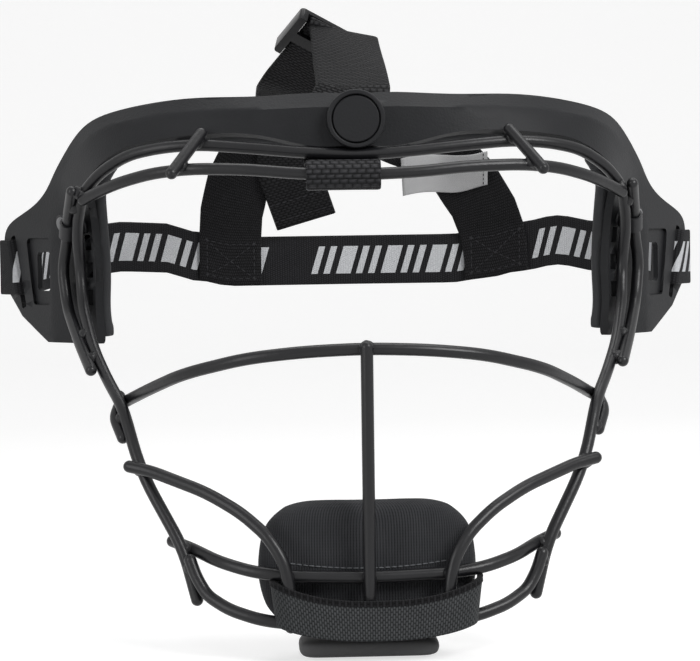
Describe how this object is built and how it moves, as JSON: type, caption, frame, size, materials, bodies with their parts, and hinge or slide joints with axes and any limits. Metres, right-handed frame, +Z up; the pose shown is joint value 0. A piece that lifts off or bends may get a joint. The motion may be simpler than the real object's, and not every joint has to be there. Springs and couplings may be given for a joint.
{
  "type": "softball face guard",
  "caption": "Open wire face guard for a softball fielder, with a moulded brow shell, foam liners, a webbing harness and a padded chin.",
  "frame": {"origin": "middle of the wearer's head, level with the strap slots in the wings", "axes": "+Z up, the face looks along -Y, +X to the right seen from the front"},
  "size_m": [0.2582, 0.2442, 0.2155],
  "materials": {
    "powder_coat": "matte powder coat",
    "shell_plastic": "fine moulded texture",
    "badge_plastic": "matte",
    "liner_foam": "smooth foam",
    "clip_plastic": "satin",
    "rivet_metal": "satin grey",
    "elastic": "woven",
    "webbing": "woven",
    "sleeve_webbing": "basket weave",
    "slider_plastic": "gloss",
    "tag_fabric": "plain",
    "chin_fabric": "fine vertical rib knit",
    "band_fabric": "knit with a dark hem",
    "base_foam": "smooth foam"
  },
  "bodies": {
    "root": {"badge_disc": "badge_plastic", "badge_ring": "badge_plastic", "brow_shell": "shell_plastic", "brow_sleeve": "sleeve_webbing", "centre_bar": "powder_coat", "chin_band": "band_fabric", "chin_pad": "chin_fabric", "chin_pad_base": "base_foam", "chin_wire": "powder_coat", "crown_webbing": "webbing", "forehead_pad": "liner_foam", "frame_wire": "powder_coat", "left_brow_stub": "powder_coat", "left_cheek_wire": "powder_coat", "left_clip_rivet": "rivet_metal", "left_outer_wire": "powder_coat", "left_strap_loop": "elastic", "left_temple_pad": "liner_foam", "left_wire_clip": "clip_plastic", "lower_brow_wire": "powder_coat", "mouth_wire": "powder_coat", "nose_arch_wire": "powder_coat", "right_brow_stub": "powder_coat", "right_cheek_wire": "powder_coat", "right_clip_rivet": "rivet_metal", "right_outer_wire": "powder_coat", "right_strap_loop": "elastic", "right_temple_pad": "liner_foam", "right_wire_clip": "clip_plastic"},
    "crown_slider": {"crown_slider": "slider_plastic"},
    "rear_harness": {"rear_strap": "elastic", "left_v_strap": "webbing", "right_v_strap": "webbing", "care_tag": "tag_fabric"}
  },
  "joints": [
    {"name": "crown_slide", "type": "slide", "parent": "root", "child": "crown_slider", "axis": [-0.4802, 0.7077, -0.5182], "range_m": [0, 0.012]},
    {"name": "rear_stretch", "type": "slide", "parent": "root", "child": "rear_harness", "axis": [0, 1, 0], "range_m": [0, 0.02], "stiffness_N_per_m": 300}
  ]
}
